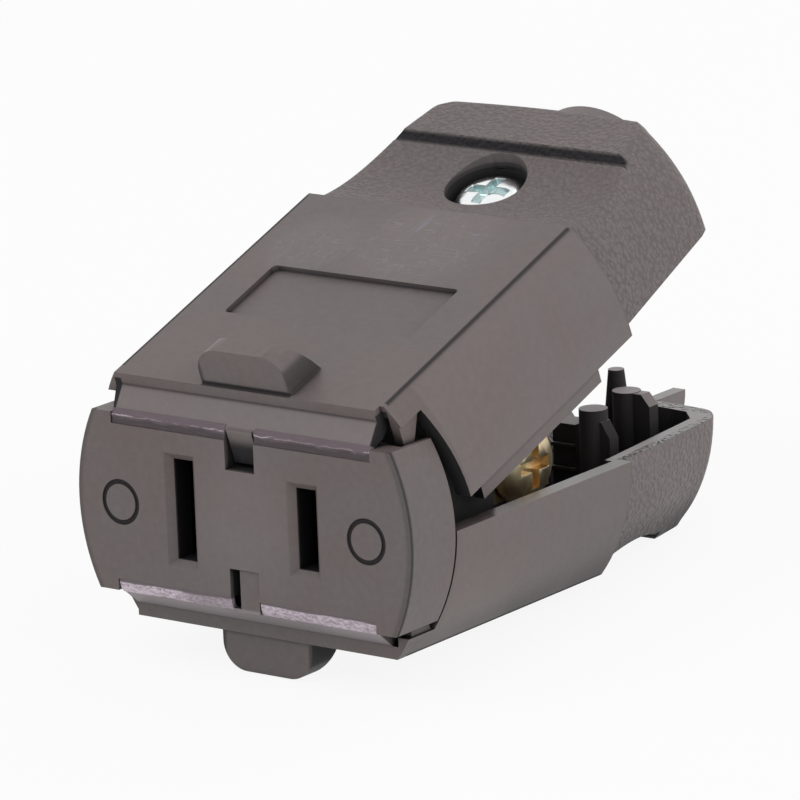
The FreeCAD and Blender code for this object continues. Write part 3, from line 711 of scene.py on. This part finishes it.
upperStrip = {
    "drawn": (0.088, 0.071, 0.078, 1),
    "grey": (0.175, 0.138, 0.155, 1),
    "greyFrom": (7.10 * mm, 7.42 * mm),
    "thread": (0.27, 0.22, 0.245, 1),
    "threadFrom": (0.50, 0.75, 0.0, 0.35),
    "streak": (0.56, 0.49, 0.52, 1),
    "streakAt": (7.40 * mm, 7.50 * mm, 0.04 * mm),
    "tornFrom": (0.36, 0.52),
    "middle": 7.55 * mm,
    "ends": (3.2 * mm, 4.8 * mm, 0.30, 0.95),
    "waves": (700, 300, 1600),
    "threads": (420, 900, 6500),
    "tears": (900, 900, 2500),
    "stray": 0.6,
    "roughness": (0.3, 0.7, 0.60, 0.82),
    "shine": 0.28,
    "depth": 0.00012,
}
lowerStrip = {
    "brown": (0.170, 0.136, 0.148, 1),
    "lilac": (0.80, 0.68, 0.78, 1),
    "lilacFrom": (0.30, 0.62, 0.25, 1.0),
    "white": (0.94, 0.88, 0.93, 1),
    "whiteFrom": (0.60, 0.72),
    "whiteShare": 0.6,
    "zone": (-7.92 * mm, -6.92 * mm, 0.06 * mm),
    "leftFade": (-7.5 * mm, -5.5 * mm, 1.0, 0.45),
    "rightStart": (0.0, 1.0 * mm, 0.0, 0.85),
    "crazing": (2300, 1500, 4200),
    "blotches": (260, 300, 900),
    "stray": 0.5,
    "roughness": (0.3, 0.7, 0.40, 0.62),
    "depth": 0.00009,
}
stripBump = 0.8


def upperWebMaterial(look):
    # dark drawn band, a pale torn streak along the fold, grey pink above it
    material, tree, shader = newMaterial("upperWebPlastic")
    place = coordinates(tree)["Object"]
    spot = axes(tree, place)
    height = strayed(tree, spot["Z"], streaks(tree, place, look["waves"]), look["stray"])
    colour = mixColour(tree, fade(tree, height, *look["greyFrom"]), look["drawn"], look["grey"])
    threads = streaks(tree, place, look["threads"])
    colour = mixColour(tree, fade(tree, threads, *look["threadFrom"]), colour, look["thread"])
    aside = maths(tree, "SUBTRACT", maths(tree, "ABSOLUTE", spot["X"]), look["middle"])
    ends = fade(tree, maths(tree, "ABSOLUTE", aside), *look["ends"])
    torn = fade(tree, streaks(tree, place, look["tears"]), *look["tornFrom"])
    streak = times(tree, band(tree, height, *look["streakAt"]), torn)
    colour = mixColour(tree, times(tree, streak, ends), colour, look["streak"])
    plug(tree, colour, shader.inputs["Base Color"])
    plug(tree, fade(tree, threads, *look["roughness"]), shader.inputs["Roughness"])
    shader.inputs["Specular IOR Level"].default_value = look["shine"]
    plug(tree, bumped(tree, threads, look["depth"], stripBump), shader.inputs["Normal"])
    return material


def lowerWebMaterial(look):
    # crazed lilac patches over the brown plastic
    material, tree, shader = newMaterial("lowerWebPlastic")
    place = coordinates(tree)["Object"]
    spot = axes(tree, place)
    crazing = streaks(tree, place, look["crazing"], detail=4.0, roughness=0.7)
    blotches = streaks(tree, place, look["blotches"], detail=2.0)
    height = strayed(tree, spot["Z"], blotches, look["stray"])
    # the left web fades towards the middle
    worn = larger(tree, fade(tree, spot["X"], *look["leftFade"]),
                  fade(tree, spot["X"], *look["rightStart"]))
    worn = times(tree, band(tree, height, *look["zone"]), worn)
    amount = times(tree, worn, fade(tree, crazing, *look["lilacFrom"]))
    colour = mixColour(tree, amount, look["brown"], look["lilac"])
    white = times(tree, worn, fade(tree, crazing, *look["whiteFrom"]))
    colour = mixColour(tree, times(tree, white, look["whiteShare"]), colour, look["white"])
    plug(tree, colour, shader.inputs["Base Color"])
    plug(tree, fade(tree, crazing, *look["roughness"]), shader.inputs["Roughness"])
    plug(tree, bumped(tree, crazing, look["depth"], stripBump), shader.inputs["Normal"])
    return material


# profiles run from the face to the cover, as y and z in millimetres
hinges = {
    "upper": {
        "cover": "upper_cover", "material": upperWebMaterial(upperStrip),
        "start": (0, 0.10, 6.70), "end": (0, 0.22, 7.51),
        "profile": [(0.10, 6.64), (0.15, 6.95), (0.20, 7.25), (0.13, 7.42), (0.19, 7.52),
                    (0.29, 7.74), (0.42, 7.96)],
    },
    "lower": {
        "cover": "lower_cover", "material": lowerWebMaterial(lowerStrip),
        "start": (0, 0.10, -6.70), "end": (0, 0.35, -7.65),
        "profile": [(0.10, -6.64), (0.11, -6.95), (0.16, -7.30), (0.30, -7.63), (0.46, -7.80),
                    (0.62, -7.93)],
    },
}
for level, made in hinges.items():
    for word, side in (("left", -1), ("right", 1)):
        web = makeWeb(level + "Hinge" + word.capitalize(), made["profile"], side)
        web.data.materials.append(made["material"])
        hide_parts(f"{level}_hinge_{word}")
        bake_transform(web)
        print("hinge", web.name, len(web.data.polygons))


# metal

metal = {
    "smearScale": 420.0,
    "dullFrom": (0.35, 0.7),
    "stainScale": 260.0,
    "stainFrom": (0.52, 0.70),
    "hollowFrom": (0.35, 0.90, 1.0, 0.0),
    "roughFrom": (0.2, 0.8),
    "leaf": (0.012, 0.011, 0.010, 1),
    "leafEnd": (11.0 * mm, 17.0 * mm),
    "depth": 0.00002,
    "strength": 0.35,
}


def metalMaterial(name, look):
    material, tree, shader = newMaterial(name)
    place = coordinates(tree)["Object"]
    smear = noise(tree, place, metal["smearScale"])
    colour = mixColour(tree, fade(tree, smear, *metal["dullFrom"]), look["bright"], look["dull"])
    stain = noise(tree, place, metal["stainScale"], detail=2.0)
    stain = fade(tree, stain, *metal["stainFrom"])
    colour = mixColour(tree, times(tree, stain, look["stainShare"]), colour, look["stain"])
    # in hollows: painted shade on the brass and the nickel, the teal of chromate on the zinc
    hollow = fade(tree, shelter(tree, look["hollowReach"]), *metal["hollowFrom"])
    colour = mixColour(tree, times(tree, hollow, look["hollowShare"]), colour, look["hollow"])
    # painted shade: the contact leaves deep in the face are painted near black
    behind = fade(tree, axes(tree, place)["Y"], *metal["leafEnd"])
    colour = mixColour(tree, behind, metal["leaf"], colour)
    plug(tree, colour, shader.inputs["Base Color"])
    shader.inputs["Metallic"].default_value = 1.0
    rough = fade(tree, smear, *metal["roughFrom"], *look["roughness"])
    plug(tree, rough, shader.inputs["Roughness"])
    lines = streaks(tree, place, look["brush"], detail=2.0)
    plug(tree, bumped(tree, lines, metal["depth"], metal["strength"]), shader.inputs["Normal"])
    return material


finishes = {
    "brass": {
        "bright": (0.98, 0.88, 0.62, 1), "dull": (0.86, 0.68, 0.36, 1),
        "stain": (0.50, 0.24, 0.07, 1), "stainShare": 0.25,
        "hollow": (0.60, 0.38, 0.16, 1), "hollowReach": 1.2, "hollowShare": 0.68,
        "roughness": (0.32, 0.48), "brush": (300, 4000, 300),
    },
    "nickel": {
        "bright": (0.78, 0.75, 0.70, 1), "dull": (0.58, 0.56, 0.53, 1),
        "stain": (0.60, 0.55, 0.45, 1), "stainShare": 0.4,
        "hollow": (0.22, 0.21, 0.20, 1), "hollowReach": 1.2, "hollowShare": 0.7,
        "roughness": (0.20, 0.36), "brush": (300, 4000, 300),
    },
    "zinc": {
        "bright": (0.90, 0.91, 0.91, 1), "dull": (0.86, 0.89, 0.90, 1),
        "stain": (0.70, 0.80, 0.81, 1), "stainShare": 0.2,
        "hollow": (0.50, 0.69, 0.69, 1), "hollowReach": 1.3, "hollowShare": 0.48,
        "roughness": (0.16, 0.30), "brush": (3000, 400, 3000),
    },
}
metals = {name: metalMaterial(name + "Metal", look) for name, look in finishes.items()}

contacts = {
    "hot_contact": {"name": "hotContact", "body": "face", "slot": "brass", "edge": 0.06},
    "neutral_contact": {"name": "neutralContact", "body": "face", "slot": "nickel", "edge": 0.06},
}
for node, made in contacts.items():
    piece = mergedCopy(node, made["name"])
    softenEdges(piece, made["edge"])
    fit(piece, node, made, metals[made["slot"]])

# neck is the middle of the head's underside, axis points out of the head
screws = {
    "hot_terminal_screw": {
        "name": "hotTerminalScrew", "body": "hot_screw", "slot": "brass", "edge": 0.12,
        "neck": (8.88, 26.2, 0), "axis": (1, 0, 0), "radius": 1.9, "length": 4.8,
    },
    "neutral_terminal_screw": {
        "name": "neutralTerminalScrew", "body": "neutral_screw", "slot": "nickel", "edge": 0.12,
        "neck": (-8.88, 26.2, 0), "axis": (-1, 0, 0), "radius": 1.9, "length": 4.8,
    },
    "clamp_screw": {
        "name": "clampScrew", "body": "clamp_screw", "slot": "zinc", "edge": 0.12,
        "neck": (0, 36.1878, 18.8813), "axis": (0, -0.3354516, 0.9420575), "radius": 1.75,
        "length": 7.6,
    },
}
# root, sunk and crest are shares: of the shank, of the root and of the shank
thread = {
    "root": 0.80, "sunk": 0.92, "crest": 0.99,
    "pitch": 0.8, "width": 0.62, "start": 0.5, "tip": 0.9, "steps": 20,
    "headGap": 0.02, "slack": 0.05,
}


def thinShank(piece, made):
    neck, axis = Vector(made["neck"]) * mm, Vector(made["axis"])
    shank = (made["radius"] + thread["slack"]) * mm
    for vertex in piece.data.vertices:
        along = (vertex.co - neck).dot(axis)
        out = vertex.co - neck - axis * along
        if along < thread["headGap"] * mm and out.length < shank:
            vertex.co = neck + axis * along + out * thread["root"]


def makeThread(made):
    bpy.ops.object.select_all(action="DESELECT")
    bpy.ops.mesh.primitive_circle_add(vertices=3, radius=mm, fill_type="NOTHING")
    ridge = bpy.context.active_object
    inside = made["radius"] * thread["root"] * thread["sunk"]
    outside = made["radius"] * thread["crest"]
    half = thread["width"] / 2
    corners = ((outside, 0, 0), (inside, 0, half), (inside, 0, -half))
    for vertex, spot in zip(ridge.data.vertices, corners):
        vertex.co = Vector(spot) * mm
    turns = int((made["length"] - thread["start"] - thread["tip"]) / thread["pitch"])
    settings = {"axis": "Z", "angle": math.tau, "screw_offset": -thread["pitch"] * mm,
                "iterations": turns, "steps": thread["steps"], "render_steps": thread["steps"]}
    applyModifier(ridge, "SCREW", settings)
    onlySelect(ridge)
    bpy.ops.object.mode_set(mode="EDIT")
    bpy.ops.mesh.select_all(action="SELECT")
    bpy.ops.mesh.fill_holes(sides=3)
    bpy.ops.mesh.normals_make_consistent(inside=False)
    bpy.ops.object.mode_set(mode="OBJECT")
    axis = Vector(made["axis"])
    top = Vector(made["neck"]) - axis * thread["start"]
    turn = axis.to_track_quat("Z", "Y").to_matrix().to_4x4()
    ridge.matrix_world = Matrix.Translation(top * mm) @ turn
    bpy.ops.object.transform_apply(location=True, rotation=True, scale=True)
    return ridge


for node, made in screws.items():
    piece = mergedCopy(node, made["name"])
    thinShank(piece, made)
    softenEdges(piece, made["edge"])
    ridge = makeThread(made)
    onlySelect(piece)
    ridge.select_set(True)
    bpy.ops.object.join()
    fit(piece, node, made, metals[made["slot"]])

# stage: floor under the rear ridge and the front tab, white world, soft lamps; in metres
stage = {
    "tabFoot": (0.0046, -0.0138),
    "ridgeFoot": (0.0477, -0.0102),
    "floorSize": 3.0,
    "floorColour": (0.97, 0.97, 0.97, 1),
    "floorRoughness": 0.8,
    "floorShine": 0.1,
    "whiteShare": 0.90,
    "worldLight": 0.50,
    "aim": (0, 0.025, 0),
}
white = (1, 1, 1, 1)


def seenRays(tree):
    rays = addNode(tree, "ShaderNodeLightPath").outputs
    seen = larger(tree, rays["Is Camera Ray"], rays["Is Glossy Ray"])
    return larger(tree, seen, rays["Is Transmission Ray"])


def makeFloor():
    (tabY, tabZ), (ridgeY, ridgeZ) = stage["tabFoot"], stage["ridgeFoot"]
    slope = math.atan2(ridgeZ - tabZ, ridgeY - tabY)
    bpy.ops.object.select_all(action="DESELECT")
    bpy.ops.mesh.primitive_plane_add(size=stage["floorSize"], location=(0, tabY, tabZ),
                                     rotation=(slope, 0, 0))
    floor = bpy.context.active_object
    floor.name = "floor"
    material, tree, shader = newMaterial("paleFloor")
    shader.inputs["Base Color"].default_value = stage["floorColour"]
    shader.inputs["Roughness"].default_value = stage["floorRoughness"]
    shader.inputs["Specular IOR Level"].default_value = stage["floorShine"]
    glow = addNode(tree, "ShaderNodeEmission", Color=white, Strength=1.0)
    blend = addNode(tree, "ShaderNodeMixShader")
    share = times(tree, seenRays(tree), stage["whiteShare"])
    for index, socket in enumerate((share, shader.outputs[0], glow.outputs[0])):
        tree.links.new(socket, blend.inputs[index])
    output = next(node for node in tree.nodes if node.bl_idname == "ShaderNodeOutputMaterial")
    tree.links.new(blend.outputs[0], output.inputs[0])
    floor.data.materials.append(material)


def makeWorld():
    world = bpy.data.worlds.new("softWorld")
    world.use_nodes = True
    tree = world.node_tree
    tree.nodes.clear()
    strength = fade(tree, seenRays(tree), 0.0, 1.0, stage["worldLight"], 1.0)
    background = addNode(tree, "ShaderNodeBackground", Color=white, Strength=strength)
    output = addNode(tree, "ShaderNodeOutputWorld")
    tree.links.new(background.outputs[0], output.inputs[0])
    scene.world = world


lamps = {
    "keyLamp": {"place": (-0.30, -0.60, 0.80), "size": 0.6, "power": 2.0},
    "sideLamp": {"place": (0.80, 0.05, 0.40), "size": 0.6, "power": 1.7},
    "backLamp": {"place": (0.10, 0.75, 0.70), "size": 0.5, "power": 1.0},
}


def makeLamps():
    aim = Vector(stage["aim"])
    for name, lamp in lamps.items():
        place = Vector(lamp["place"])
        bpy.ops.object.light_add(type="AREA", location=place)
        light = bpy.context.active_object
        light.name = name
        light.rotation_euler = (aim - place).to_track_quat("-Z", "Y").to_euler()
        light.data.size = lamp["size"]
        light.data.energy = lamp["power"]


camera = {
    "azimuth": 37.243,
    "elevation": 14.294,
    "roll": -2.273,
    "target": (-0.012513, 0.038495, 0.0),
    "distance": 0.580453,
    "lens": 298.88,
    "sensor": 36,
    "near": 0.01,
}


def makeCamera():
    angles = (math.radians(camera[word]) for word in ("azimuth", "elevation", "roll"))
    azimuth, elevation, roll = angles
    flat = math.cos(elevation)
    back = Vector((math.sin(azimuth) * flat, -math.cos(azimuth) * flat, math.sin(elevation)))
    level = Vector((0, 0, 1)).cross(back).normalized()
    upright = back.cross(level)
    right = level * math.cos(roll) + upright * math.sin(roll)
    up = upright * math.cos(roll) - level * math.sin(roll)
    turn = Matrix((right, up, back)).transposed()
    place = Vector(camera["target"]) + back * camera["distance"]
    bpy.ops.object.camera_add(location=place, rotation=turn.to_euler())
    made = bpy.context.active_object
    made.data.lens = camera["lens"]
    made.data.sensor_width = camera["sensor"]
    made.data.clip_start = camera["near"]
    scene.camera = made


makeFloor()
makeWorld()
makeLamps()
makeCamera()
print("stage ready")
